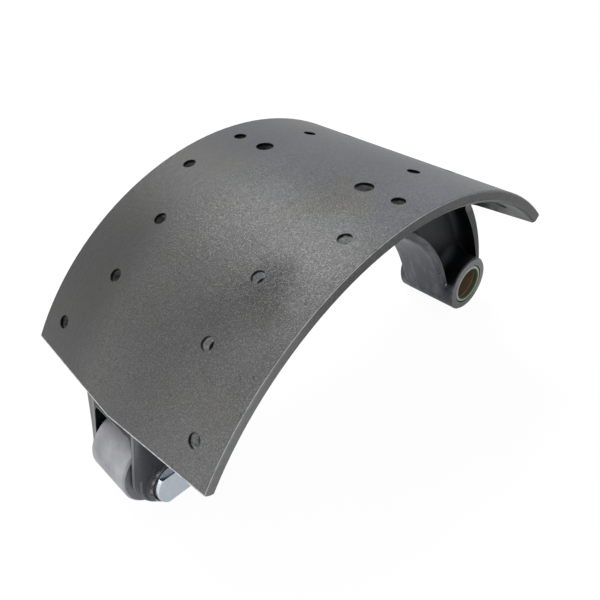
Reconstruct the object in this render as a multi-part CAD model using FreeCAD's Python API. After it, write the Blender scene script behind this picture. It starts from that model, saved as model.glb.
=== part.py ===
import FreeCAD, Part
import math
import os

from FreeCAD import Vector

# A cast brake shoe for a 420 mm drum, bare of its linings, on its cam roller and anchor boss.
# Lengths are in millimetres and angles in degrees. The shoe is drawn in the drum's own frame:
# the drum's axis runs along Y through the origin, and an angle is measured round it from +Z
# towards +X. The cam end is at negative angles and the anchor end at positive ones. At the end
# every piece is turned and moved so that the shoe stands on its roller and its boss, with the
# centre of the anchor bore at the origin.

# Drum and lining that the table is made for
drum_diameter = 420.0
lining_thickness = 18.0

# Table, the curved plate that carries the linings
table_thickness = 7.5
table_width = 176.0
table_half_angle = 51.0
table_top_edge = 1.0
table_bottom_edge = 1.6
cam_end_peak = 7.4
cam_end_round = 4.0
anchor_end_peak = 17.0

# Web and inner flange of the I section
web_thickness = 14.0
web_table_fillet = 7.0
web_flange_fillet = 5.0
flange_inner_radius = 137.0
flange_thickness = 7.0
flange_width = 44.0
flange_edge = 2.4
tail_fillet = 22.0
tail_bend_lag = 2.0
tail_back_bulge = 0.6
flange_end_inset = 0.2

# Anchor boss with its bush and two seals
boss_pitch_radius = 163.9
boss_angle = 84.1
boss_radius = 24.1
boss_length = 56.2
boss_edge = 1.2
boss_web_fillet = 9.0
bush_bore = 28.0
bush_wall = 3.0
bush_edge = 0.6
seal_depth = 4.0
seal_mouth_step = 0.6
seal_outer_gap = 0.9
seal_lip_clearance = 0.15
seal_edge = 0.6

# Cam end: roller, its pin and the fork that holds them
roller_pitch_radius = 160.5
roller_angle = -63.6
roller_diameter = 50.0
roller_width = 37.2
roller_edge = 1.4
roller_side_clearance = 1.7
roller_running_clearance = 0.05
pin_diameter = 26.0
pin_stand_out = 3.5
pin_flats_width = 20.0
pin_flats_angle = -4.7
pin_edge = 0.5
cheek_thickness = 10.7
cheek_nose_radius = 20.0
cheek_top_edge = 3.0
cheek_nose_edge = 8.0
cheek_top_angle = -52.6
cheek_top_cover = 2.2
pin_boss_height = 2.0
pin_boss_end_radius = 15.4
pin_boss_foot_radius = 17.6
pin_boss_edge = 1.0
fork_start_angle = -41.0
fork_neck_angle = -49.0
fork_corner = 14.0
pocket_back_wall = 9.0
pocket_top_cover = 2.5
pocket_top_corner = 3.0

# Holes through the table: rivet holes for two linings and a pair of sight holes
rivet_hole = 8.4
rivet_pitch_angle = 12.94
rivet_narrow_spacing = 90.0
rivet_wide_spacing = 136.0
sight_hole = 11.5
sight_hole_angle = 6.5
sight_hole_spacing = 86.0

# Sizes that follow from the ones above
table_radius = drum_diameter / 2 - lining_thickness
table_inner_radius = table_radius - table_thickness
flange_outer_radius = flange_inner_radius + flange_thickness
web_middle_radius = (table_inner_radius + flange_outer_radius) / 2
bush_radius = bush_bore / 2 + bush_wall
counterbore_radius = bush_radius + seal_mouth_step
seal_radius = counterbore_radius - seal_outer_gap
roller_radius = roller_diameter / 2
pin_radius = pin_diameter / 2
cheek_inner = roller_width / 2 + roller_side_clearance
cheek_outer = cheek_inner + cheek_thickness
fork_face = cheek_outer + pin_boss_height
pin_end = fork_face + pin_stand_out
fork_top_radius = table_radius - cheek_top_cover
foot_start_angle = -table_half_angle - math.degrees(cam_end_peak / table_radius) / 2
fork_split = web_middle_radius * math.radians(fork_start_angle - fork_neck_angle)
fork_root_angle = fork_start_angle + math.degrees(fork_corner / web_middle_radius)
foot_end_angle = fork_start_angle + math.degrees(fork_corner / web_middle_radius) / 5
flange_end_radius = flange_inner_radius + boss_radius - flange_end_inset
flange_end_turn = math.degrees(math.acos(min(1, flange_end_radius / boss_pitch_radius)))
flange_straight_angle = boss_angle - flange_end_turn
overlap = table_thickness / 3
touching = 0.01
far_away = 4 * table_radius

drum_axis = Vector(0, 1, 0)
drum_centre = Vector(0, 0, 0)


def polar(radius, angle, y=0.0):
    """A point at a radius and an angle round the drum's axis."""
    turn = math.radians(angle)
    return Vector(radius * math.sin(turn), y, radius * math.cos(turn))


boss_centre = polar(boss_pitch_radius, boss_angle)
roller_centre = polar(roller_pitch_radius, roller_angle)


def corner_arc(before, corner, after, radius):
    """The ends and the middle of the arc that rounds a corner; short sides keep its radius down."""
    to_before = before - corner
    to_after = after - corner
    half = to_before.getAngle(to_after) / 2
    longest = 0.499 * min(to_before.Length, to_after.Length)
    reach = min(radius / math.tan(half), longest)
    radius = reach * math.tan(half)
    to_before.normalize()
    to_after.normalize()
    middle_way = (to_before + to_after).normalize()
    middle = corner + middle_way * (radius / math.sin(half) - radius)
    return corner + to_before * reach, middle, corner + to_after * reach


def rounded_face(corners):
    """A flat face from a list of (point, corner radius)."""
    edges = []
    places = [point for point, radius in corners]
    starts = []
    ends = []
    for index, (point, radius) in enumerate(corners):
        if radius > 0:
            following = places[(index + 1) % len(places)]
            start, middle, end = corner_arc(places[index - 1], point, following, radius)
            edges.append(Part.Arc(start, middle, end).toShape())
        else:
            start = end = point
        starts.append(start)
        ends.append(end)
    for index, end in enumerate(ends):
        start = starts[(index + 1) % len(starts)]
        if end.distanceToPoint(start) > 1e-6:
            edges.append(Part.makeLine(end, start))
    return Part.Face(Part.Wire(Part.__sortEdges__(edges)))


def swept_round_drum(face, start_angle, end_angle):
    """A face drawn at angle 0, carried round the drum's axis between two angles."""
    turned = face.copy()
    turned.rotate(drum_centre, drum_axis, start_angle)
    return turned.revolve(drum_centre, drum_axis, end_angle - start_angle)


def cylinder(centre, radius, half_length):
    """A cylinder along Y, centred on a point."""
    start = centre - drum_axis * half_length
    return Part.makeCylinder(radius, 2 * half_length, start, drum_axis)


def turned_piece(centre, outline):
    """A solid turned round an axis along Y from an outline of (radius, y)."""
    points = [centre + Vector(radius, y, 0) for radius, y in outline]
    face = Part.Face(Part.makePolygon(points + points[:1]))
    return face.revolve(centre, drum_axis, 360)


def section_point(y, radius):
    """A point of a cross-section drawn at angle 0."""
    return Vector(0, y, radius)


def plan_prism(angle, corners, low_radius, high_radius):
    """A prism along the radius at an angle, from corners (way along the table, y, corner radius)."""
    along = polar(1, angle + 90)
    outward = polar(1, angle)
    base = outward * low_radius
    face = rounded_face([(base + along * way + drum_axis * y, radius) for way, y, radius in corners])
    return face.extrude(outward * (high_radius - low_radius))


def table_plate():
    """The plate, long enough for the narrow tail that runs down to the boss."""
    half = table_width / 2
    low = table_bottom_edge
    high = table_top_edge
    corners = [
        section_point(half - low, table_inner_radius),
        section_point(half, table_inner_radius + low),
        section_point(half, table_radius - high),
        section_point(half - high, table_radius),
        section_point(-half + high, table_radius),
        section_point(-half, table_radius - high),
        section_point(-half, table_inner_radius + low),
        section_point(-half + low, table_inner_radius),
    ]
    face = Part.Face(Part.makePolygon(corners + corners[:1]))
    cam_extra = math.degrees(cam_end_peak / table_inner_radius) + 1
    plate = swept_round_drum(face, -table_half_angle - cam_extra, boss_angle)
    plate = plate.cut(cam_end_outside())
    plate = plate.makeFillet(cam_end_round, [edge for edge in plate.Edges if is_cam_end_lip(edge)])
    for side in (-1, 1):
        plate = plate.cut(anchor_end_outside(side))
    return plate.cut(tail_outside())


def is_cam_end_lip(edge):
    """Whether an edge is half of the lower edge of the table's cam end."""
    middle = edge.valueAt((edge.FirstParameter + edge.LastParameter) / 2)
    on_underside = abs(math.hypot(middle.x, middle.z) - table_inner_radius) < touching
    past_end = math.degrees(math.atan2(middle.x, middle.z)) < -table_half_angle + touching
    across = abs(edge.Vertexes[0].Y - edge.Vertexes[-1].Y) > table_width / 4
    return on_underside and past_end and across


def cam_end_outside():
    """What lies past the tent-shaped cam end of the table."""
    half = table_width / 2
    margin = table_thickness
    slope = cam_end_peak / half
    corners = [
        (margin * slope, -half - margin, 0),
        (-cam_end_peak, 0, 0),
        (margin * slope, half + margin, 0),
        (-far_away, half + margin, 0),
        (-far_away, -half - margin, 0),
    ]
    return plan_prism(-table_half_angle, corners, table_radius / 2, 2 * table_radius)


def anchor_end_outside(side):
    """What lies past one half of the anchor end, beside the tail."""
    half = table_width / 2
    margin = table_thickness
    tail = flange_width / 2
    slope = anchor_end_peak / half
    corners = [
        (-margin * slope, side * (half + margin), 0),
        ((half - tail) * slope, side * tail, tail_fillet),
        (far_away, side * tail, 0),
        (far_away, side * (half + margin), 0),
    ]
    return plan_prism(table_half_angle, corners, -table_radius / 2, 2 * table_radius)


def tail_outside():
    """What lies outside the arc in which the tail's back comes down to the boss."""
    start_angle = table_half_angle + tail_bend_lag
    end_radius = boss_pitch_radius + boss_radius
    start = polar(table_radius, start_angle)
    middle_radius = (table_radius + end_radius) / 2 + tail_back_bulge
    middle = polar(middle_radius, (start_angle + boss_angle) / 2)
    end = polar(end_radius, boss_angle)
    far_end = polar(far_away, boss_angle + tail_bend_lag)
    far_start = polar(far_away, table_half_angle)
    near_start = polar(table_radius + overlap, table_half_angle)
    edges = [
        Part.Arc(start, middle, end).toShape(),
        Part.makeLine(end, far_end),
        Part.makeLine(far_end, far_start),
        Part.makeLine(far_start, near_start),
        Part.makeLine(near_start, start),
    ]
    face = Part.Face(Part.Wire(edges))
    face.translate(Vector(0, -table_width, 0))
    return face.extrude(Vector(0, 2 * table_width, 0))


def outer_tee():
    """The half of the web that grows out of the table, with its fillets."""
    half = web_thickness / 2
    brim = half + 2 * web_table_fillet
    inside_table = table_inner_radius + overlap
    face = rounded_face([
        (section_point(-brim, inside_table), 0),
        (section_point(-brim, table_inner_radius), 0),
        (section_point(-half, table_inner_radius), web_table_fillet),
        (section_point(-half, web_middle_radius), 0),
        (section_point(half, web_middle_radius), 0),
        (section_point(half, table_inner_radius), web_table_fillet),
        (section_point(brim, table_inner_radius), 0),
        (section_point(brim, inside_table), 0),
    ])
    return swept_round_drum(face, fork_start_angle, boss_angle)


def inner_tee_face(web_top):
    """The inner flange with the web that stands on it, as a cross-section at angle 0."""
    half = web_thickness / 2
    edge = flange_width / 2
    return rounded_face([
        (section_point(-edge, flange_inner_radius), flange_edge),
        (section_point(edge, flange_inner_radius), flange_edge),
        (section_point(edge, flange_outer_radius), flange_edge),
        (section_point(half, flange_outer_radius), web_flange_fillet),
        (section_point(half, web_top), 0),
        (section_point(-half, web_top), 0),
        (section_point(-half, flange_outer_radius), web_flange_fillet),
        (section_point(-edge, flange_outer_radius), flange_edge),
    ])


def inner_tee():
    """The inner flange and its half of the web: round the drum first, then straight into the boss."""
    curved = swept_round_drum(inner_tee_face(web_middle_radius), fork_start_angle, flange_straight_angle)
    straight_face = inner_tee_face(web_middle_radius)
    straight_face.rotate(drum_centre, drum_axis, flange_straight_angle)
    run = max(boss_pitch_radius * math.sin(math.radians(flange_end_turn)), overlap)
    straight = straight_face.extrude(polar(run, flange_straight_angle + 90))
    return curved.fuse(straight)


def boss():
    """The barrel that holds the anchor bush, and the fillet that joins it to the web."""
    half = boss_length / 2
    barrel = turned_piece(boss_centre, [
        (0, -half),
        (boss_radius - boss_edge, -half),
        (boss_radius, -half + boss_edge),
        (boss_radius, half - boss_edge),
        (boss_radius - boss_edge, half),
        (0, half),
    ])
    return barrel.fuse(boss_collar())


def boss_collar():
    """The flare from the web to the barrel, kept between the two flanges."""
    half = web_thickness / 2
    reach = boss_web_fillet
    rim = boss_centre + Vector(boss_radius + reach, half, 0)
    foot = boss_centre + Vector(boss_radius, half + reach, 0)
    low = 1 - math.sqrt(0.5)
    middle = boss_centre + Vector(boss_radius + reach * low, half + reach * low, 0)
    mirror = [Vector(point.x, -point.y, point.z) for point in (rim, middle, foot)]
    inside = boss_centre + Vector(boss_radius / 2, 0, 0)
    edges = [
        Part.Arc(rim, middle, foot).toShape(),
        Part.makeLine(foot, Vector(inside.x, foot.y, inside.z)),
        Part.makeLine(Vector(inside.x, foot.y, inside.z), Vector(inside.x, -foot.y, inside.z)),
        Part.makeLine(Vector(inside.x, -foot.y, inside.z), mirror[2]),
        Part.Arc(mirror[2], mirror[1], mirror[0]).toShape(),
        Part.makeLine(mirror[0], rim),
    ]
    flare = Part.Face(Part.Wire(edges)).revolve(boss_centre, drum_axis, 360)
    half_flange = flange_width / 2
    between = rounded_face([
        (section_point(-half_flange, flange_outer_radius - overlap), 0),
        (section_point(half_flange, flange_outer_radius - overlap), 0),
        (section_point(half_flange, table_inner_radius + overlap), 0),
        (section_point(-half_flange, table_inner_radius + overlap), 0),
    ])
    return flare.common(swept_round_drum(between, 0, boss_angle))


def tangent_point(point, centre, radius, side):
    """Where a line from a point touches a circle in the XZ plane; side picks one of the two."""
    away = point - centre
    lean = math.acos(radius / away.Length)
    turn = math.atan2(away.x, away.z) + side * lean
    return centre + Vector(radius * math.sin(turn), 0, radius * math.cos(turn))


def fork_profile():
    """The side view of the fork: down from the table, round the pin and back to the inner flange."""
    top = polar(fork_top_radius, cheek_top_angle)
    bottom = polar(flange_inner_radius, fork_neck_angle)
    front = tangent_point(top, roller_centre, cheek_nose_radius, -1)
    under = tangent_point(bottom, roller_centre, cheek_nose_radius, 1)
    away_from_root = roller_centre - (top + bottom) / 2
    nose = roller_centre + away_from_root.normalize() * cheek_nose_radius
    root_low = polar(flange_inner_radius, fork_root_angle)
    root_top = polar(fork_top_radius, fork_root_angle)
    low_middle = polar(flange_inner_radius, (fork_root_angle + fork_neck_angle) / 2)
    top_middle = polar(fork_top_radius, (fork_root_angle + cheek_top_angle) / 2)
    edges = [
        Part.makeLine(top, front),
        Part.Arc(front, nose, under).toShape(),
        Part.makeLine(under, bottom),
        Part.Arc(bottom, low_middle, root_low).toShape(),
        Part.makeLine(root_low, root_top),
        Part.Arc(root_top, top_middle, top).toShape(),
    ]
    return Part.Face(Part.Wire(edges))


def fork_outline():
    """The fork seen along the radius: the web widens into two cheeks."""
    half_web = web_thickness / 2
    corners = [
        (fork_split + 2 * fork_corner, -half_web, 0),
        (fork_split, -half_web, fork_corner),
        (0, -cheek_outer, fork_corner),
        (-far_away, -cheek_outer, 0),
        (-far_away, cheek_outer, 0),
        (0, cheek_outer, fork_corner),
        (fork_split, half_web, fork_corner),
        (fork_split + 2 * fork_corner, half_web, 0),
    ]
    return plan_prism(fork_neck_angle, corners, 0, 2 * table_radius)


def roller_pocket():
    """The space between the cheeks, open to the cam and closed by the table above."""
    slope = math.atan2(cheek_outer - web_thickness / 2, fork_split)
    mouth = (cheek_outer - cheek_inner) / math.tan(slope) - pocket_back_wall / math.sin(slope)
    apex = mouth + cheek_inner / math.tan(slope)
    corners = [
        (-far_away, -cheek_inner, 0),
        (mouth, -cheek_inner, fork_corner),
        (apex, 0, fork_corner),
        (mouth, cheek_inner, fork_corner),
        (-far_away, cheek_inner, 0),
    ]
    top = table_radius - cheek_top_cover - pocket_top_cover
    tunnel = swept_round_drum(rounded_face([
        (section_point(-cheek_inner, flange_inner_radius / 2), 0),
        (section_point(cheek_inner, flange_inner_radius / 2), 0),
        (section_point(cheek_inner, top), pocket_top_corner),
        (section_point(-cheek_inner, top), pocket_top_corner),
    ]), -90, 0)
    return plan_prism(fork_neck_angle, corners, 0, 2 * table_radius).common(tunnel)


def pin_boss(side):
    """The tapered boss on the outside of one cheek, round the end of the pin."""
    base = cheek_outer - cheek_nose_edge / 2
    return turned_piece(roller_centre, [
        (0, side * base),
        (pin_boss_foot_radius, side * base),
        (pin_boss_end_radius, side * (fork_face - pin_boss_edge)),
        (pin_boss_end_radius - pin_boss_edge, side * fork_face),
        (0, side * fork_face),
    ])


def is_leading_rim(edge):
    """Whether an edge is the straight outer rim that runs down a cheek from the table."""
    if not isinstance(edge.Curve, Part.Line):
        return False
    tops = [polar(fork_top_radius, cheek_top_angle, side * cheek_outer) for side in (-1, 1)]
    gaps = [top.distanceToPoint(vertex.Point) for top in tops for vertex in edge.Vertexes]
    across = abs(edge.Vertexes[0].Y - edge.Vertexes[-1].Y)
    return min(gaps) < touching and across < touching


def cheeks():
    """The cheeks and the neck in one block, with outer rims that grow rounder towards the nose."""
    side_view = fork_profile()
    side_view.translate(Vector(0, -cheek_outer, 0))
    block = side_view.extrude(Vector(0, 2 * cheek_outer, 0))
    rims = [edge for edge in block.Edges if is_leading_rim(edge)]
    rounded = block.makeFillet(cheek_top_edge, cheek_nose_edge, rims)
    return rounded.common(fork_outline())


def drum_ring(low_radius, high_radius, start_angle, end_angle):
    """A ring sector round the drum's axis, as wide as the table."""
    half = table_width / 2
    face = rounded_face([
        (section_point(-half, low_radius), 0),
        (section_point(half, low_radius), 0),
        (section_point(half, high_radius), 0),
        (section_point(-half, high_radius), 0),
    ])
    return swept_round_drum(face, start_angle, end_angle)


def is_foot(edge):
    """Whether an edge lies where the fork's sides meet the underside of the table."""
    middle = edge.valueAt((edge.FirstParameter + edge.LastParameter) / 2)
    on_drum = abs(math.hypot(middle.x, middle.z) - table_inner_radius) < touching
    angle = math.degrees(math.atan2(middle.x, middle.z))
    inside = foot_start_angle + touching < angle < foot_end_angle - touching
    return on_drum and inside and abs(middle.y) < table_width / 2 - touching


def fork_foot():
    """The fillet between the sides of the fork and the underside of the table."""
    low = table_inner_radius - 2 * web_table_fillet
    high = table_inner_radius + overlap
    stem = fork_outline().common(drum_ring(low, high, foot_start_angle, foot_end_angle))
    slab = drum_ring(table_inner_radius, high, foot_start_angle, foot_end_angle)
    block = stem.fuse(slab).removeSplitter()
    block = block.makeFillet(web_table_fillet, [edge for edge in block.Edges if is_foot(edge)])
    half = cheek_outer + 1.5 * web_table_fillet
    edge_space = Part.makeBox(2 * far_away, 2 * half, 2 * far_away, Vector(-far_away, -half, -far_away))
    return block.common(edge_space)


def fork():
    """The two cheeks with their bosses, and the neck that joins them to the web."""
    return cheeks().fuse([pin_boss(-1), pin_boss(1), fork_foot()]).cut(roller_pocket())


def rivet_places():
    """The angle and the Y of each rivet hole, four rows over each lining."""
    places = []
    spacings = [rivet_wide_spacing, rivet_narrow_spacing, rivet_narrow_spacing, rivet_wide_spacing]
    for row, spacing in enumerate(spacings):
        angle = (row + 0.5) * rivet_pitch_angle
        for side in (-1, 1):
            places.append((angle, side * spacing / 2))
            places.append((-angle, side * spacing / 2))
    return places


def table_hole(angle, y, diameter):
    """A drill through the table, square to its face."""
    start = polar(table_inner_radius - table_thickness, angle, y)
    return Part.makeCylinder(diameter / 2, 3 * table_thickness, start, polar(1, angle))


def table_holes():
    """Every hole through the table."""
    holes = [table_hole(angle, y, rivet_hole) for angle, y in rivet_places()]
    for side in (-1, 1):
        holes.append(table_hole(sight_hole_angle, side * sight_hole_spacing / 2, sight_hole))
    return holes


def anchor_bores():
    """The bore for the bush, with a wider mouth at each end for a seal."""
    half = boss_length / 2
    mouths = []
    for side in (-1, 1):
        centre = boss_centre + drum_axis * (side * half)
        mouths.append(cylinder(centre, counterbore_radius, seal_depth))
    return [cylinder(boss_centre, bush_radius, boss_length)] + mouths


def shoe_casting():
    """The shoe itself, one casting from the fork to the anchor boss."""
    shoe = table_plate().fuse([outer_tee(), inner_tee(), boss(), fork()])
    pin_hole = cylinder(roller_centre, pin_radius, 2 * fork_face)
    return shoe.cut(anchor_bores() + [pin_hole] + table_holes()).removeSplitter()


def anchor_bush():
    """The bronze bush pressed into the boss, between the two seals."""
    half = boss_length / 2 - seal_depth
    return turned_piece(boss_centre, [
        (bush_bore / 2 + bush_edge, -half),
        (bush_radius, -half),
        (bush_radius, half),
        (bush_bore / 2 + bush_edge, half),
        (bush_bore / 2, half - bush_edge),
        (bush_bore / 2, -half + bush_edge),
    ])


def seal(side):
    """A ring with a rounded lip that lies against one end of the bush."""
    seat = side * (boss_length / 2 - seal_depth)
    face = side * boss_length / 2
    lip = bush_bore / 2 + seal_lip_clearance
    edge = seal_edge
    return turned_piece(boss_centre, [
        (lip, seat),
        (seal_radius, seat),
        (seal_radius, face - side * edge),
        (seal_radius - edge, face),
        (lip + edge, face),
        (lip, face - side * edge),
    ])


def cam_roller():
    """The plain roller that runs on the cam."""
    half = roller_width / 2
    inside = pin_radius + roller_running_clearance
    return turned_piece(roller_centre, [
        (inside, -half),
        (roller_radius - roller_edge, -half),
        (roller_radius, -half + roller_edge),
        (roller_radius, half - roller_edge),
        (roller_radius - roller_edge, half),
        (inside, half),
    ])


def roller_pin():
    """The pin pressed through both cheeks, with two flats on each end."""
    pin = turned_piece(roller_centre, [
        (0, -pin_end),
        (pin_radius - pin_edge, -pin_end),
        (pin_radius, -pin_end + pin_edge),
        (pin_radius, pin_end - pin_edge),
        (pin_radius - pin_edge, pin_end),
        (0, pin_end),
    ])
    for end in (-1, 1):
        for side in (-1, 1):
            pin = pin.cut(flat_cut(end, side))
    return pin


def flat_cut(end, side):
    """What is milled away to make one flat at one end of the pin."""
    block = Part.makeBox(4 * pin_radius, 2 * pin_stand_out, 2 * pin_radius)
    block.translate(Vector(-2 * pin_radius, -pin_stand_out, -pin_radius))
    block.translate(Vector(0, end * pin_end, side * (pin_flats_width / 2 + pin_radius)))
    block.rotate(drum_centre, drum_axis, -pin_flats_angle)
    block.translate(roller_centre)
    return block


def standing_turn():
    """How far the shoe turns about Y to stand on its roller and its boss."""
    across = boss_centre - roller_centre
    lean_now = math.atan2(across.z, across.x)
    lean_standing = math.asin((boss_radius - roller_radius) / across.Length)
    return math.degrees(lean_now - lean_standing)


def write_piece(name, shape):
    """Stand a piece in the shoe's resting place and write it."""
    piece = shape.copy()
    piece.translate(-boss_centre)
    piece.rotate(Vector(0, 0, 0), drum_axis, standing_turn())
    piece.exportStep("parts/" + name + ".step")
    print(name, piece.isValid(), len(piece.Solids), round(piece.Volume))


os.makedirs("parts", exist_ok=True)
write_piece("shoe_casting", shoe_casting())
write_piece("anchor_bush", anchor_bush())
write_piece("seal_near", seal(-1))
write_piece("seal_far", seal(1))
write_piece("cam_roller", cam_roller())
write_piece("roller_pin", roller_pin())
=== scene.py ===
import bpy
from math import radians
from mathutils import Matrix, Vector

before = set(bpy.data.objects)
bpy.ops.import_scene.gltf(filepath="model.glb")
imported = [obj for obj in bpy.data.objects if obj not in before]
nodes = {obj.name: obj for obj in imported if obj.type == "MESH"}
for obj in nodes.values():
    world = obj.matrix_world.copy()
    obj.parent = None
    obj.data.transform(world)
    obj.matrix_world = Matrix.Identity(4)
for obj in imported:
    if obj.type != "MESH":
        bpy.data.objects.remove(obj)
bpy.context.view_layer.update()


def grey(value, warm=0.0):
    """A grey with a little more red and less blue where warm is above 0."""
    return (value * (1 + warm), value, value * (1 - warm), 1.0)


# A cast brake shoe, bare of its linings, dressed and lit like its photo. Lengths are in metres in
# the row frame: the anchor bore's axis runs along Y through the origin, and the drum's axis and
# the roller's axis run along Y too. A material's turn is the angle round the drum's axis, from
# straight up towards the anchor end.
DRUM_X, DRUM_Z = -0.157699, -0.044656
ROLLER_X, ROLLER_Z = -0.311598, 0.0009
FLOOR_HEIGHT = -0.0241

# The casting
TABLE_RADIUS = 0.192
TABLE_INNER_RADIUS = 0.1845
TABLE_HALF_WIDTH = 0.088
FLANGE_OUTER_RADIUS = 0.144
FLANGE_INNER_RADIUS = 0.137
FLANGE_HALF_WIDTH = 0.022
BOSS_HALF_LENGTH = 0.0281
BOSS_RADIUS = 0.0241
CHEEK_INNER = 0.0203
CHEEK_OUTER = 0.031

# The table's cam end is a shallow tent: the way from it into the table, and how far its middle
# stands out
CAM_END_WAY = (0.4862, 0.0, 0.8738)
CAM_END_PEAK = 0.0074

# The roller and its pin
ROLLER_RADIUS = 0.025
ROLLER_HALF_WIDTH = 0.0186
ROLLER_EDGE = 0.0014
PIN_RADIUS = 0.013
PIN_END = 0.0365
PIN_EDGE = 0.0005

# The turns where the dark paint of the tail starts and where the colour of the holes' walls ends
TAIL_PAINT_ANGLE = radians(51)
WALL_END_ANGLE = radians(44.3)

# The fork's lighter paint fades in along X from the first to the second, and runs of paint are
# drawn out along Z
FORK_FADE = (-0.262, -0.285)
RUN_STRETCH = (1.0, 1.0, 0.25)

# The seals are greener inside the first radius than outside the second
SEAL_FADE = (0.0143, 0.0152)

# Darker patches on the table's face, and two lighter ones that are painted highlights: place, reach,
# and tone against the face
PATCHES_AND_HIGHLIGHTS = (
    ((-0.2510, -0.0535, 0.1230), 0.025, 0.34),
    ((-0.2640, -0.0630, 0.1152), 0.019, 0.62),
    ((-0.2725, -0.0420, 0.1092), 0.028, 0.70),
    ((-0.2200, -0.0080, 0.1366), 0.046, 1.55),
    ((-0.2230, -0.0560, 0.1350), 0.044, 1.40),
)

# A pit on the flange, and a light fleck that is a painted highlight where the flange's edge meets the
# barrel: place, reach and grey
PIT_AND_HIGHLIGHT = (
    ((-0.0382, -0.0214, 0.0239), 0.0011, 0.002),
    ((-0.0262, -0.0220, 0.0078), 0.0016, 0.600),
)

# The depth of the face's and the paint's colour, and the tints that it is multiplied with
FACE_SHADE = 0.070
# The darkest paint is partly painted shade, in the hollows under the table and in the roller pocket
DARK_PAINT_AND_SHADE = 0.006
RUBBED_PAINT_SHADE = 0.085
PLAIN_TINT = (1.0, 1.0, 0.98, 1.0)
COOL_TINT = (0.92, 0.98, 1.14, 1.0)
WARM_TINT = (1.02, 1.0, 0.93, 1.0)
PAINT_TINT = (0.94, 0.97, 1.12)
FACE_GLOSS_TINT = grey(1.0)
PAINT_GLOSS_TINT = (0.95, 0.98, 1.10, 1.0)

# Colours of the other zones and the marks of the casting
RIM = grey(0.080, 0.01)
# Painted shade at the top of the holes' walls, and their metal below, which is partly painted light
HOLE_TOP_SHADE = grey(0.004)
HOLE_METAL_AND_LIGHT = grey(0.85, -0.01)
# Painted shade round the holes' openings
HOLE_MOUTH_SHADE = grey(0.006)
MACHINED = grey(0.20, -0.02)
# Bare metal along the edges, partly painted edge highlights
BARE_METAL_AND_GLINT = grey(0.58, -0.01)
STREAK = grey(0.20, -0.06)
# Light scuff marks, partly painted highlights
SCUFF_AND_SHEEN = grey(0.75, -0.03)
DUST = grey(0.08, -0.03)
# A painted highlight on the flange's rounded inner edges
FLANGE_EDGE_HIGHLIGHT = grey(0.20, -0.04)
# Painted highlights on the cheeks' rounded edges and the far cheek's leading face
POCKET_EDGE_HIGHLIGHT = grey(0.22)
CHEEK_FACE_HIGHLIGHT = grey(0.24)
# Painted highlights on the pin's bosses and the cheek's nose
PIN_RING_HIGHLIGHT = grey(0.40, -0.02)
NOSE_HIGHLIGHT = grey(0.22, -0.02)
PIN_JOINT = grey(0.002)

# Colours of the small pieces
# A painted highlight on the roller's and the pin's rounded rims
RIM_HIGHLIGHT = grey(0.85)
ROLLER_COLOUR = (0.37, 0.37, 0.395, 1.0)
PIN_COLOUR = (0.69, 0.755, 0.82, 1.0)
BRONZE = (0.31, 0.195, 0.115, 1.0)
DULL_BRONZE = (0.24, 0.175, 0.105, 1.0)
BRONZE_EDGE = (0.55, 0.40, 0.26, 1.0)
SEAL_FACE = (0.50, 0.57, 0.46, 1.0)
SEAL_LIP = (0.10, 0.16, 0.075, 1.0)
SEAL_EDGE = (0.7, 0.76, 0.62, 1.0)

# The camera was fitted to the table's edges and holes in the photo; its turn is in degrees and
# its lens and sensor are in millimetres
CAMERA_PLACE = (-0.42935, -0.25845, 0.29686)
CAMERA_TURN = (53.71105, -0.31433, -43.32954)
CAMERA_LENS = 37.76
CAMERA_SENSOR = 36
CAMERA_SHIFT = (0.0115, 0.0377)

# Two square lamps aimed at the middle of the shoe, and weaker light from all sides
LAMP_TARGET = (-0.16, 0.0, 0.1)
LAMP_SIZE = 0.5
SOFTBOX_PLACE, SOFTBOX_POWER = (-0.141, 0.538, 1.059), 10.2
SIDE_LAMP_PLACE, SIDE_LAMP_POWER = (-1.168, 0.27, 0.449), 2.6
SKY_COLOUR, SKY_STRENGTH = (0.96, 0.98, 1.0, 1), 0.45
WHITE = (1, 1, 1, 1)

# The floor glows for the rays that see it, so that it looks white, but not at full share, so that
# a faint shadow stays; mirrored in the part it glows less
FLOOR_SIZE = 6
FLOOR_SHADE = (0.85, 0.85, 0.85, 1)
FLOOR_GLOW = 1.06
FLOOR_GLOW_SHARE = 0.90
FLOOR_MIRRORED = 0.4


class NodeTree:
    """A node tree under construction."""

    def __init__(self, tree):
        self.tree = tree

    def add(self, kind, values=(), **settings):
        """A new node, with values or sockets for its first inputs."""
        node = self.tree.nodes.new(kind)
        for name, value in settings.items():
            setattr(node, name, value)
        for socket, value in zip(node.inputs, values):
            self.feed(socket, value)
        return node

    def feed(self, socket, value):
        """Sets an input, or links it where the value is a socket."""
        if isinstance(value, bpy.types.NodeSocket):
            self.tree.links.new(value, socket)
        else:
            socket.default_value = value

    def math(self, operation, a, b=0.0):
        return self.add("ShaderNodeMath", [a, b], operation=operation).outputs[0]

    def seen_rays(self, mirrored):
        """1 for a ray from the camera or through glass, and mirrored for one off a gloss."""
        path = self.add("ShaderNodeLightPath").outputs
        direct = self.math("MAXIMUM", path["Is Camera Ray"], path["Is Transmission Ray"])
        return self.math("MAXIMUM", direct, self.math("MULTIPLY", path["Is Glossy Ray"], mirrored))

    def mix_shaders(self, factor, first, second, output):
        """Feeds the named output node with the first shader, or the second where factor is 1."""
        both = self.add("ShaderNodeMixShader", [factor, first.outputs[0], second.outputs[0]])
        self.feed(self.tree.nodes[output].inputs["Surface"], both.outputs[0])


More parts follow.
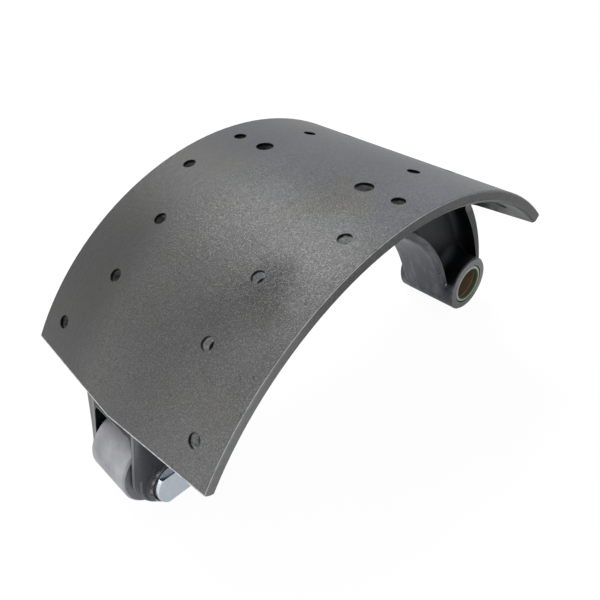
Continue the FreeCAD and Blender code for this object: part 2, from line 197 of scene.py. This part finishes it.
class Shader(NodeTree):
    """A material under construction: a call adds the nodes for one step and gives their output."""

    def __init__(self, name):
        self.material = bpy.data.materials.new(name)
        self.material.use_nodes = True
        super().__init__(self.material.node_tree)
        self.surface = self.tree.nodes["Principled BSDF"]
        self.place = self.add("ShaderNodeTexCoord").outputs["Object"]
        split = self.add("ShaderNodeSeparateXYZ", [self.place])
        self.x, self.y, self.z = split.outputs
        self.side = self.math("ABSOLUTE", self.y)

    def vector(self, operation, a, b):
        """A vector math node; the caller picks its output."""
        return self.add("ShaderNodeVectorMath", [a, b], operation=operation)

    def product(self, first, *others):
        """Several factors multiplied."""
        for other in others:
            first = self.math("MULTIPLY", first, other)
        return first

    def inverse(self, mask):
        """0 where the mask is 1, and 1 where it is 0."""
        return self.math("SUBTRACT", 1.0, mask)

    def ramp(self, value, low, high):
        """0 below low and 1 above high, smooth between them; low may be the larger."""
        limits = [value, low, high, 0.0, 1.0]
        node = self.add("ShaderNodeMapRange", limits, interpolation_type="SMOOTHSTEP")
        return node.outputs["Result"]

    def band(self, value, low, high, soft):
        """1 between low and high, with soft ends inside them."""
        return self.product(self.ramp(value, low, low + soft), self.ramp(value, high, high - soft))

    def scaled(self, value, low, high):
        """A value from 0 to 1 spread from low to high."""
        return self.math("ADD", self.math("MULTIPLY", value, high - low), low)

    def noise(self, scale, detail=2.0, roughness=0.5, place=None):
        """Noise from 0 to 1 in space, or in the coordinates given."""
        node = self.add("ShaderNodeTexNoise")
        self.feed(node.inputs["Vector"], place or self.place)
        node.inputs["Scale"].default_value = scale
        node.inputs["Detail"].default_value = detail
        node.inputs["Roughness"].default_value = roughness
        return node.outputs["Fac"]

    def lines(self, along, scale):
        """Noise from 0 to 1 along one value only."""
        node = self.add("ShaderNodeTexNoise", noise_dimensions="1D")
        self.feed(node.inputs["W"], along)
        node.inputs["Scale"].default_value = scale
        return node.outputs["Fac"]

    def mix(self, factor, a, b):
        """A colour that goes from a to b."""
        node = self.add("ShaderNodeMix", data_type="RGBA")
        self.feed(node.inputs["Factor"], factor)
        self.feed(node.inputs["A"], a)
        self.feed(node.inputs["B"], b)
        return node.outputs["Result"]

    def blend(self, factor, a, b):
        """A number that goes from a to b."""
        node = self.add("ShaderNodeMix", [factor], data_type="FLOAT")
        self.feed(node.inputs[2], a)
        self.feed(node.inputs[3], b)
        return node.outputs[0]

    def times(self, colour, factor):
        """A colour multiplied by a number."""
        if isinstance(colour, tuple):
            colour = colour[:3]
        return self.vector("MULTIPLY", colour, factor).outputs[0]

    def distance(self, x, z):
        """How far a point is from an axis along Y."""
        dx = self.math("SUBTRACT", self.x, x)
        dz = self.math("SUBTRACT", self.z, z)
        square = self.math("ADD", self.math("MULTIPLY", dx, dx), self.math("MULTIPLY", dz, dz))
        return self.math("SQRT", square)

    def away_from(self, place):
        """How far a point is from another."""
        return self.vector("DISTANCE", self.place, place).outputs["Value"]

    def edges(self, radius):
        """1 along the sharp edges and 0 away from them."""
        rounded = self.add("ShaderNodeBevel", [radius], samples=6).outputs[0]
        true = self.add("ShaderNodeNewGeometry").outputs["Normal"]
        return self.ramp(self.vector("DOT_PRODUCT", rounded, true).outputs["Value"], 0.99, 0.85)

    def bump(self, height, strength, distance):
        node = self.add("ShaderNodeBump")
        node.inputs["Strength"].default_value = strength
        node.inputs["Distance"].default_value = distance
        self.feed(node.inputs["Height"], height)
        self.tree.links.new(node.outputs[0], self.surface.inputs["Normal"])

    def finish(self, **inputs):
        """Feeds the surface's inputs, with _ for each space in their names."""
        for name, value in inputs.items():
            self.feed(self.surface.inputs[name.replace("_", " ")], value)
        return self.material


class CastingShader(Shader):
    """The casting's material, with the masks that tell its zones from each other."""

    def __init__(self):
        super().__init__("casting_finish")
        self.find_places()
        self.find_table()
        self.find_holes()
        self.find_painted_zones()
        self.sharp = self.edges(0.0006)
        stretched = self.vector("MULTIPLY", self.place, RUN_STRETCH).outputs[0]
        self.runs = self.noise(55, 3, 0.6, stretched)

    def find_places(self):
        """Radius and turn about the drum's axis, distance from the cam end, and a mask that is 1
        on the near side and fades towards the far one."""
        self.radius = self.distance(DRUM_X, DRUM_Z)
        dx = self.math("SUBTRACT", self.x, DRUM_X)
        dz = self.math("SUBTRACT", self.z, DRUM_Z)
        self.turn = self.math("ARCTAN2", dx, dz)
        self.from_end = self.cam_end_distance()
        self.near = self.ramp(self.y, 0.055, 0.015)

    def cam_end_distance(self):
        """How far a point of the table is behind its tent-shaped cam end."""
        inward = self.vector("DOT_PRODUCT", self.place, CAM_END_WAY).outputs["Value"]
        inward = self.math("SUBTRACT", inward, DRUM_X * CAM_END_WAY[0] + DRUM_Z * CAM_END_WAY[2])
        slope = CAM_END_PEAK / TABLE_HALF_WIDTH
        tent = self.math("SUBTRACT", CAM_END_PEAK, self.product(self.side, slope))
        return self.math("ADD", inward, tent)

    def find_table(self):
        """The table with its rims, its outer face, and the face's grains."""
        plate = self.ramp(self.radius, TABLE_INNER_RADIUS + 0.0003, TABLE_INNER_RADIUS + 0.0008)
        ragged = self.math("ADD", self.turn, self.scaled(self.noise(90, 3, 0.6), -0.03, 0.03))
        before_tail = self.ramp(ragged, TAIL_PAINT_ANGLE + 0.03, TAIL_PAINT_ANGLE + 0.005)
        behind_end = self.ramp(self.from_end, -0.0006, -0.0003)
        self.table = self.product(plate, before_tail, behind_end)
        self.face = self.ramp(self.radius, TABLE_RADIUS - 0.0005, TABLE_RADIUS - 0.0002)
        self.grains = self.noise(1200, 3, 0.7)
        specks = self.math("SUBTRACT", self.ramp(self.grains, 0.42, 0.72), 0.35)
        self.grain_depth = self.product(self.scaled(self.near, 0.2, 1.0), specks)

    def find_holes(self):
        """The part of the table that has holes, their walls, and the walls' lower part."""
        inside = self.ramp(self.side, TABLE_HALF_WIDTH - 0.002, TABLE_HALF_WIDTH - 0.003)
        behind_end = self.ramp(self.from_end, 0.006, 0.008)
        before_tail = self.ramp(self.turn, WALL_END_ANGLE + 0.01, WALL_END_ANGLE)
        self.holes = self.product(inside, behind_end, before_tail)
        self.wall = self.product(self.holes, self.inverse(self.face))
        ragged = self.math("ADD", self.radius, self.scaled(self.noise(300, 2), -0.0008, 0.0008))
        self.deep = self.ramp(ragged, TABLE_RADIUS - 0.0014, TABLE_RADIUS - 0.0026)

    def find_painted_zones(self):
        """The flange, the fork, its roller pocket and the joint round the roller pin."""
        self.flange = self.ramp(self.radius, FLANGE_OUTER_RADIUS + 0.0008, FLANGE_OUTER_RADIUS - 0.0004)
        self.fork = self.ramp(self.x, *FORK_FADE)
        between_cheeks = self.ramp(self.side, CHEEK_INNER + 0.0003, CHEEK_INNER + 0.0001)
        self.pocket = self.product(self.fork, between_cheeks)
        self.from_pin = self.distance(ROLLER_X, ROLLER_Z)
        self.outside = self.ramp(self.side, CHEEK_OUTER - 0.0004, CHEEK_OUTER + 0.0004)
        gap = self.ramp(self.from_pin, PIN_RADIUS + 0.0013, PIN_RADIUS + 0.0010)
        self.joint = self.product(self.outside, gap)

    def face_tone(self):
        """Grains, blotches, pits, broad patches and darker patches of the blasted face, with painted
        shade towards the far side and past the top, painted light along the near edge, and painted
        highlights.
        """
        shades = [
            self.math("ADD", self.product(self.grain_depth, 0.52), 1.0),
            self.scaled(self.noise(170, 3, 0.6), 0.87, 1.13),
            self.scaled(self.noise(13, 3, 0.55), 0.86, 1.14),
            self.scaled(self.ramp(self.noise(240, 2), 0.30, 0.25), 1.0, 0.6),
            # Painted shade: darker towards the far side
            self.scaled(self.near, 0.64, 1.0),
            # Painted light: lighter along the near edge
            self.scaled(self.ramp(self.y, -0.015, -0.08), 1.0, 1.5),
            self.scaled(self.ramp(self.from_end, 0.06, 0.005), 1.0, 1.22),
            # Painted shade: darker past the top, towards the anchor end
            self.scaled(self.ramp(self.turn, 0.0, radians(14)), 1.0, 0.86),
        ]
        # Darker patches, and lighter ones that are painted highlights
        for place, reach, shade in PATCHES_AND_HIGHLIGHTS:
            outline = self.scaled(self.noise(60, 2), -0.006, 0.006)
            away = self.math("ADD", self.away_from(place), outline)
            shades.append(self.scaled(self.ramp(away, reach, 0.1 * reach), 1.0, shade))
        return self.product(*shades)

    def face_colour(self):
        """Grey primer, cooler towards the anchor end, with warmer patches."""
        hue = self.mix(self.ramp(self.turn, radians(-22), radians(4)), PLAIN_TINT, COOL_TINT)
        hue = self.mix(self.ramp(self.noise(24, 2), 0.52, 0.7), hue, WARM_TINT)
        return self.times(hue, self.product(self.face_tone(), FACE_SHADE))

    def rim_colour(self):
        """The table's rims, lighter towards the cam end, with painted shade along the lower edge."""
        lower_edge_shade = self.ramp(self.radius, TABLE_INNER_RADIUS + 0.0018, TABLE_INNER_RADIUS + 0.0010)
        tone = self.product(
            self.scaled(self.noise(60, 3), 0.8, 1.2),
            self.scaled(self.noise(500, 3), 0.85, 1.15),
            self.scaled(self.ramp(self.turn, radians(-15), radians(-50)), 1.0, 3.0),
            self.scaled(lower_edge_shade, 1.0, 0.5),
        )
        return self.times(RIM, tone)

    def wall_colour(self):
        """Walls of the holes: painted shade at the top, and metal below, partly painted light, that
        shows most in the near holes at the cam end.
        """
        metal_and_light = self.product(
            self.deep,
            self.scaled(self.noise(520, 3, 0.7), -0.25, 1.35),
            self.scaled(self.ramp(self.y, 0.01, -0.03), 0.35, 1.0),
            self.scaled(self.ramp(self.turn, radians(-2), radians(-14)), 0.35, 1.0),
        )
        return self.mix(metal_and_light, HOLE_TOP_SHADE, HOLE_METAL_AND_LIGHT)

    def paint_colour(self):
        """Bluish black paint, darkened as painted shade in the hollows under the table, rubbed lighter
        on the flange and the fork, and black as painted shade in the pocket.
        """
        rubbed = self.math("MAXIMUM", self.product(self.flange, 0.9), self.product(self.fork, 0.45))
        depth = self.blend(rubbed, DARK_PAINT_AND_SHADE, RUBBED_PAINT_SHADE)
        depth = self.blend(self.pocket, depth, DARK_PAINT_AND_SHADE)
        return self.times(PAINT_TINT, self.product(depth, self.scaled(self.runs, 0.6, 1.4)))

    def add_streaks(self, colour):
        """Streaks along the flange, scuff marks under the table's anchor end that are partly painted
        highlights, and dust.
        """
        along = self.add("ShaderNodeCombineXYZ", [self.product(self.turn, 0.03), self.y, self.radius])
        streaks = self.ramp(self.noise(150, 3, 0.6, along.outputs[0]), 0.46, 0.66)
        colour = self.mix(self.product(self.flange, streaks, 0.7), colour, STREAK)
        under = self.product(
            self.ramp(self.side, 0.026, 0.032),
            self.ramp(self.turn, radians(33), radians(42)),
            self.scaled(self.ramp(self.turn, radians(41), radians(50)), 0.3, 1.0),
        )
        places = [self.product(self.turn, 0.19), self.product(self.y, 0.3), self.radius]
        across = self.add("ShaderNodeCombineXYZ", places)
        scuffs_and_sheen = self.ramp(self.noise(420, 4, 0.75, across.outputs[0]), 0.44, 0.62)
        colour = self.mix(self.product(under, scuffs_and_sheen, 0.95), colour, SCUFF_AND_SHEEN)
        dust = self.product(
            self.ramp(self.noise(420, 4, 0.7), 0.62, 0.72),
            self.scaled(self.pocket, 0.35, 0.05),
        )
        return self.mix(dust, colour, DUST)

    def add_flange_marks(self, colour):
        """A painted highlight along the flange's rounded inner edges, the pit, and the painted
        highlight where the flange meets the barrel.
        """
        highlight_line = self.product(
            self.band(self.side, FLANGE_HALF_WIDTH - 0.0013, FLANGE_HALF_WIDTH, 0.0004),
            self.ramp(self.radius, FLANGE_INNER_RADIUS + 0.0018, FLANGE_INNER_RADIUS + 0.0010),
            self.ramp(self.noise(90, 2), 0.36, 0.56),
            0.7,
        )
        colour = self.mix(highlight_line, colour, FLANGE_EDGE_HIGHLIGHT)
        for place, reach, shade in PIT_AND_HIGHLIGHT:
            fleck = self.ramp(self.away_from(place), reach, 0.5 * reach)
            colour = self.mix(fleck, colour, grey(shade))
        return colour

    def add_cheek_marks(self, colour):
        """Painted highlights on the cheeks' rounded edges along the pocket, and on the far cheek's
        leading face.
        """
        pocket_highlight = self.product(
            self.fork,
            self.ramp(self.side, CHEEK_INNER + 0.0032, CHEEK_INNER + 0.0022),
            self.inverse(self.pocket),
            self.scaled(self.noise(150, 3, 0.7), 0.4, 1.2),
        )
        colour = self.mix(pocket_highlight, colour, POCKET_EDGE_HIGHLIGHT)
        cheek_highlight = self.product(
            self.fork,
            self.ramp(self.y, CHEEK_INNER + 0.0002, CHEEK_INNER + 0.0005),
            self.ramp(self.y, CHEEK_OUTER - 0.0002, CHEEK_OUTER - 0.0010),
            self.scaled(self.noise(190, 3, 0.7), 0.1, 0.8),
        )
        return self.mix(cheek_highlight, colour, CHEEK_FACE_HIGHLIGHT)

    def add_pin_marks(self, colour):
        """Painted highlights round the pin's bosses and along the cheek's nose, and the dark joint
        round the pin.
        """
        inner_ring = self.band(self.from_pin, PIN_RADIUS + 0.0010, PIN_RADIUS + 0.0025, 0.0004)
        outer_ring = self.band(self.from_pin, PIN_RADIUS + 0.0040, PIN_RADIUS + 0.0051, 0.0004)
        ring_highlights = self.math("MAXIMUM", inner_ring, self.product(outer_ring, 0.5))
        broken = self.ramp(self.noise(210, 3, 0.7), 0.38, 0.58)
        colour = self.mix(self.product(self.outside, ring_highlights, broken, 0.85), colour, PIN_RING_HIGHLIGHT)
        nose = self.ramp(self.from_pin, PIN_RADIUS + 0.0068, PIN_RADIUS + 0.0063)
        highlight_line = self.band(self.side, CHEEK_OUTER - 0.0042, CHEEK_OUTER - 0.0026, 0.0005)
        colour = self.mix(self.product(self.fork, nose, highlight_line, 0.45), colour, NOSE_HIGHLIGHT)
        return self.mix(self.joint, colour, PIN_JOINT)

    def add_machined_faces(self, colour):
        """The two turned faces of the anchor boss."""
        at_end = self.ramp(self.side, BOSS_HALF_LENGTH - 0.0004, BOSS_HALF_LENGTH - 0.0002)
        on_boss = self.ramp(self.distance(0.0, 0.0), BOSS_RADIUS + 0.001, BOSS_RADIUS)
        turned = self.times(MACHINED, self.scaled(self.noise(700, 2), 0.8, 1.2))
        return self.mix(self.product(at_end, on_boss), colour, turned)

    def worn_and_lit_edges(self):
        """1 on bare metal and painted edge highlights: slight along every sharp edge, strong along the
        table's corners.
        """
        broken = self.ramp(self.noise(240, 3, 0.7), 0.35, 0.55)
        not_holes = self.inverse(self.product(self.holes, self.table))
        slight = self.product(self.sharp, self.scaled(broken, 0.0, 0.45), not_holes)
        corner = self.product(
            self.ramp(self.side, TABLE_HALF_WIDTH - 0.0009, TABLE_HALF_WIDTH - 0.0006),
            self.ramp(self.radius, TABLE_RADIUS - 0.0007, TABLE_RADIUS - 0.0004),
            self.scaled(self.ramp(self.x, -0.09, -0.20), 0.3, 1.0),
        )
        end = self.product(self.ramp(self.from_end, 0.0008, 0.0004), self.face)
        strong = self.product(self.math("MAXIMUM", corner, end), self.scaled(broken, 0.6, 1.0))
        return self.math("MAXIMUM", slight, strong)

    def gloss(self):
        """How strongly the paint, the face's grains and the holes reflect: weaker in the pin's joint,
        weaker as painted shade in the pocket, on the holes' upper walls and towards the far side, and
        stronger on the grains near the softbox's highlight as a painted glint.
        """
        shiny = self.math("MAXIMUM", self.product(self.flange, 0.7), self.product(self.fork, 0.45))
        paint = self.blend(shiny, 0.52, 0.87)
        paint = self.blend(self.math("MAXIMUM", self.pocket, self.joint), paint, 0.08)
        # Painted glint: the grains reflect more where the softbox's highlight lies
        glint = self.scaled(self.ramp(self.turn, radians(-38), radians(-22)), 1.2, 2.3)
        glint = self.product(self.grain_depth, glint)
        face = self.math("ADD", glint, self.scaled(self.near, 0.84, 0.96))
        face = self.blend(self.product(self.wall, self.inverse(self.deep)), face, 0.1)
        tint = self.mix(self.table, PAINT_GLOSS_TINT, FACE_GLOSS_TINT)
        return self.times(tint, self.blend(self.table, paint, face))


def casting():
    """Blasted and primed table, darker painted web and fork, bare edges and machined boss faces, with
    painted shade in hollows and painted highlights on edges.
    """
    s = CastingShader()
    table_colour = s.mix(s.face, s.rim_colour(), s.face_colour())
    table_colour = s.mix(s.wall, table_colour, s.wall_colour())
    paint_colour = s.paint_colour()
    for add_marks in (s.add_streaks, s.add_flange_marks, s.add_cheek_marks, s.add_pin_marks):
        paint_colour = add_marks(paint_colour)
    colour = s.add_machined_faces(s.mix(s.table, paint_colour, table_colour))
    # Bare metal and painted highlights along the edges
    wear_and_glint = s.worn_and_lit_edges()
    colour = s.mix(wear_and_glint, colour, BARE_METAL_AND_GLINT)
    # Painted shade round the holes' openings
    mouth_shade = s.product(s.sharp, s.holes, s.face, s.table, 0.8)
    colour = s.mix(mouth_shade, colour, HOLE_MOUTH_SHADE)
    grain_height = s.product(s.grains, s.scaled(s.near, 0.3, 1.0))
    s.bump(s.math("ADD", grain_height, s.product(s.noise(300, 3), 0.8)), 1.0, 0.00028)
    return s.finish(
        Base_Color=colour,
        Roughness=s.blend(s.table, s.scaled(s.runs, 0.24, 0.42), s.scaled(s.grains, 0.33, 0.44)),
        Metallic=s.product(wear_and_glint, 0.6),
        Specular_IOR_Level=0.35,
        Specular_Tint=s.gloss(),
    )


def turned_steel(name, colour, outer_radius, half, edge, painted_end_shade, stain, roughness, metal):
    """Steel turned about the roller's axis: fine lines, stains, painted shade on the top and the end
    faces, and painted highlights on the rounded rims.
    """
    s = Shader(name)
    radius = s.distance(ROLLER_X, ROLLER_Z)
    end = s.ramp(s.side, half - 0.0006, half - 0.0002)
    lines = s.lines(s.blend(end, s.y, radius), 3500)
    stains = s.noise(38, 3, 0.6)
    spots = s.noise(420, 3, 0.6)
    tone = s.product(
        s.scaled(stains, 1 - stain, 1 + stain),
        s.scaled(spots, 0.9, 1.1),
        s.scaled(lines, 0.94, 1.06),
        # Painted shade on the end faces
        s.scaled(end, 1.0, painted_end_shade),
        # Painted shade: darker towards the top, under the table
        s.scaled(s.ramp(s.z, ROLLER_Z + 0.008, ROLLER_Z + 0.024), 1.0, 0.62),
    )
    # Painted highlight on the rounded rims
    rim = s.math("SUBTRACT", s.math("ADD", s.side, radius), half + outer_radius - 2 * edge)
    rim = s.product(s.ramp(rim, 1.05 * edge, 1.25 * edge), 0.85)
    s.bump(s.math("ADD", lines, s.product(spots, 0.5)), 0.12, 0.0001)
    return s.finish(
        Base_Color=s.mix(rim, s.times(colour, tone), RIM_HIGHLIGHT),
        Roughness=s.scaled(stains, roughness - 0.06, roughness + 0.08),
        Metallic=metal,
    )


def roller_steel():
    """The ground and slightly stained roller."""
    return turned_steel(
        "ground_steel", ROLLER_COLOUR, ROLLER_RADIUS, ROLLER_HALF_WIDTH, ROLLER_EDGE,
        painted_end_shade=0.62, stain=0.7, roughness=0.42, metal=0.6,
    )


def pin_steel():
    """The bright zinc-plated pin."""
    return turned_steel(
        "zinc_plate", PIN_COLOUR, PIN_RADIUS, PIN_END, PIN_EDGE,
        painted_end_shade=1.0, stain=0.1, roughness=0.24, metal=1.0,
    )


def bronze():
    """The bush: brown bronze with darker turning lines."""
    s = Shader("bronze_bush")
    lines = s.lines(s.y, 1600)
    tone = s.product(s.scaled(lines, 0.85, 1.15), s.scaled(s.noise(120, 3), 0.8, 1.2))
    colour = s.times(s.mix(s.ramp(s.noise(60, 2), 0.4, 0.6), BRONZE, DULL_BRONZE), tone)
    colour = s.mix(s.product(s.edges(0.0005), 0.4), colour, BRONZE_EDGE)
    s.bump(lines, 0.1, 0.0001)
    return s.finish(Base_Color=colour, Roughness=s.scaled(s.noise(300), 0.4, 0.55), Metallic=0.35)


def seal_rubber():
    """Pale green moulded seals, a little dusty, greener on the inside of the lip."""
    s = Shader("green_seal")
    outer = s.ramp(s.distance(0.0, 0.0), *SEAL_FADE)
    tone = s.product(s.scaled(s.noise(900, 2), 0.88, 1.12), s.scaled(s.noise(150, 2), 0.9, 1.1))
    colour = s.times(s.mix(outer, SEAL_LIP, SEAL_FACE), tone)
    colour = s.mix(s.product(s.edges(0.0004), 0.3), colour, SEAL_EDGE)
    s.bump(s.noise(1200, 2), 0.15, 0.0001)
    return s.finish(Base_Color=colour, Roughness=s.scaled(s.noise(200), 0.45, 0.6))


def dress(name, material):
    """Gives a CAD node its material."""
    mesh = nodes[name].data
    mesh.materials.clear()
    mesh.materials.append(material)


def camera():
    """The camera of the photo."""
    data = bpy.data.cameras.new("camera")
    data.lens = CAMERA_LENS
    data.sensor_width = CAMERA_SENSOR
    data.shift_x, data.shift_y = CAMERA_SHIFT
    data.clip_start = 0.01
    data.clip_end = 20
    obj = bpy.data.objects.new("camera", data)
    bpy.context.scene.collection.objects.link(obj)
    obj.location = CAMERA_PLACE
    obj.rotation_euler = [radians(angle) for angle in CAMERA_TURN]
    bpy.context.scene.camera = obj


def lamp(name, place, power):
    """A square lamp that faces the middle of the shoe."""
    data = bpy.data.lights.new(name, "AREA")
    data.size = LAMP_SIZE
    data.energy = power
    obj = bpy.data.objects.new(name, data)
    bpy.context.scene.collection.objects.link(obj)
    obj.location = place
    way = Vector(LAMP_TARGET) - Vector(place)
    obj.rotation_euler = way.to_track_quat("-Z", "Y").to_euler()


def studio():
    """A white surround, soft light from all sides, a softbox above and a lamp at the cam end."""
    world = bpy.data.worlds.new("studio")
    bpy.context.scene.world = world
    world.use_nodes = True
    sky = NodeTree(world.node_tree)
    light = world.node_tree.nodes["Background"]
    light.inputs["Color"].default_value = SKY_COLOUR
    light.inputs["Strength"].default_value = SKY_STRENGTH
    white = sky.add("ShaderNodeBackground", [WHITE])
    sky.mix_shaders(sky.seen_rays(1.0), light, white, "World Output")
    lamp("softbox", SOFTBOX_PLACE, SOFTBOX_POWER)
    lamp("side", SIDE_LAMP_PLACE, SIDE_LAMP_POWER)


def floor():
    """A plain pale floor that looks white and keeps a faint shadow."""
    bpy.ops.mesh.primitive_plane_add(size=FLOOR_SIZE, location=(DRUM_X, 0, FLOOR_HEIGHT))
    plane = bpy.context.object
    plane.name = "floor"
    paper = Shader("pale_floor")
    paper.finish(Base_Color=FLOOR_SHADE, Roughness=0.9)
    glow = paper.add("ShaderNodeEmission", [WHITE, FLOOR_GLOW])
    share = paper.math("MULTIPLY", paper.seen_rays(FLOOR_MIRRORED), FLOOR_GLOW_SHARE)
    paper.mix_shaders(share, paper.surface, glow, "Material Output")
    plane.data.materials.append(paper.material)


bpy.context.scene.view_settings.view_transform = "Standard"
camera()
studio()
floor()
dress("shoe_casting", casting())
dress("cam_roller", roller_steel())
dress("roller_pin", pin_steel())
dress("anchor_bush", bronze())
seal = seal_rubber()
dress("seal_near", seal)
dress("seal_far", seal)
